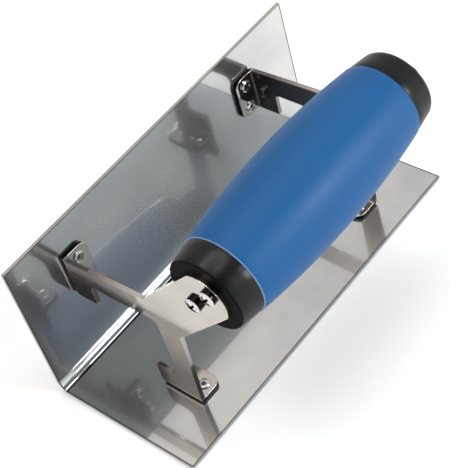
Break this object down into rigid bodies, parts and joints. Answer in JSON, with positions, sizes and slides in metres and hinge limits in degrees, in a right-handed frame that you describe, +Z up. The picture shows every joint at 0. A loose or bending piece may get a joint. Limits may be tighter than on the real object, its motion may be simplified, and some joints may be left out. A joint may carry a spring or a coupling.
{
  "type": "inside corner trowel",
  "caption": "Inside corner trowel: steel blade folded to a right angle, a riveted Y-shaped bracket at each end and a blue soft-grip barrel handle with black ends.",
  "frame": {"origin": "centre of the bounding box's base: the floor under the right wing, halfway along the blade and halfway between the left wing's outer face and the grip's far side", "axes": "+Z up, square to the right wing, which lies on the floor; +X along the fold from the front bracket to the rear bracket; +Y square to the left wing, out of its working face"},
  "size_m": [0.18, 0.1082, 0.1082],
  "materials": {
    "blade_steel": "polished stainless sheet",
    "bracket_steel": "satin stamped sheet",
    "rivet_steel": "bright rolled rivet",
    "screw_steel": "zinc-plated",
    "grip_rubber": "satin soft-touch blue",
    "core_plastic": "black moulded plastic",
    "cap_plastic": "satin black moulded plastic"
  },
  "bodies": {
    "root": {"blade": "blade_steel", "front_bracket": "bracket_steel", "rear_bracket": "bracket_steel", "rivet_front_right_inner": "rivet_steel", "rivet_front_right_outer": "rivet_steel", "rivet_front_left_inner": "rivet_steel", "rivet_front_left_outer": "rivet_steel", "rivet_rear_right_inner": "rivet_steel", "rivet_rear_right_outer": "rivet_steel", "rivet_rear_left_inner": "rivet_steel", "rivet_rear_left_outer": "rivet_steel", "grip_sleeve": "grip_rubber", "handle_core": "core_plastic", "front_end_cap": "cap_plastic", "rear_end_cap": "cap_plastic", "screw_front_lower": "screw_steel", "screw_front_upper": "screw_steel", "screw_rear_lower": "screw_steel", "screw_rear_upper": "screw_steel"}
  },
  "joints": []
}
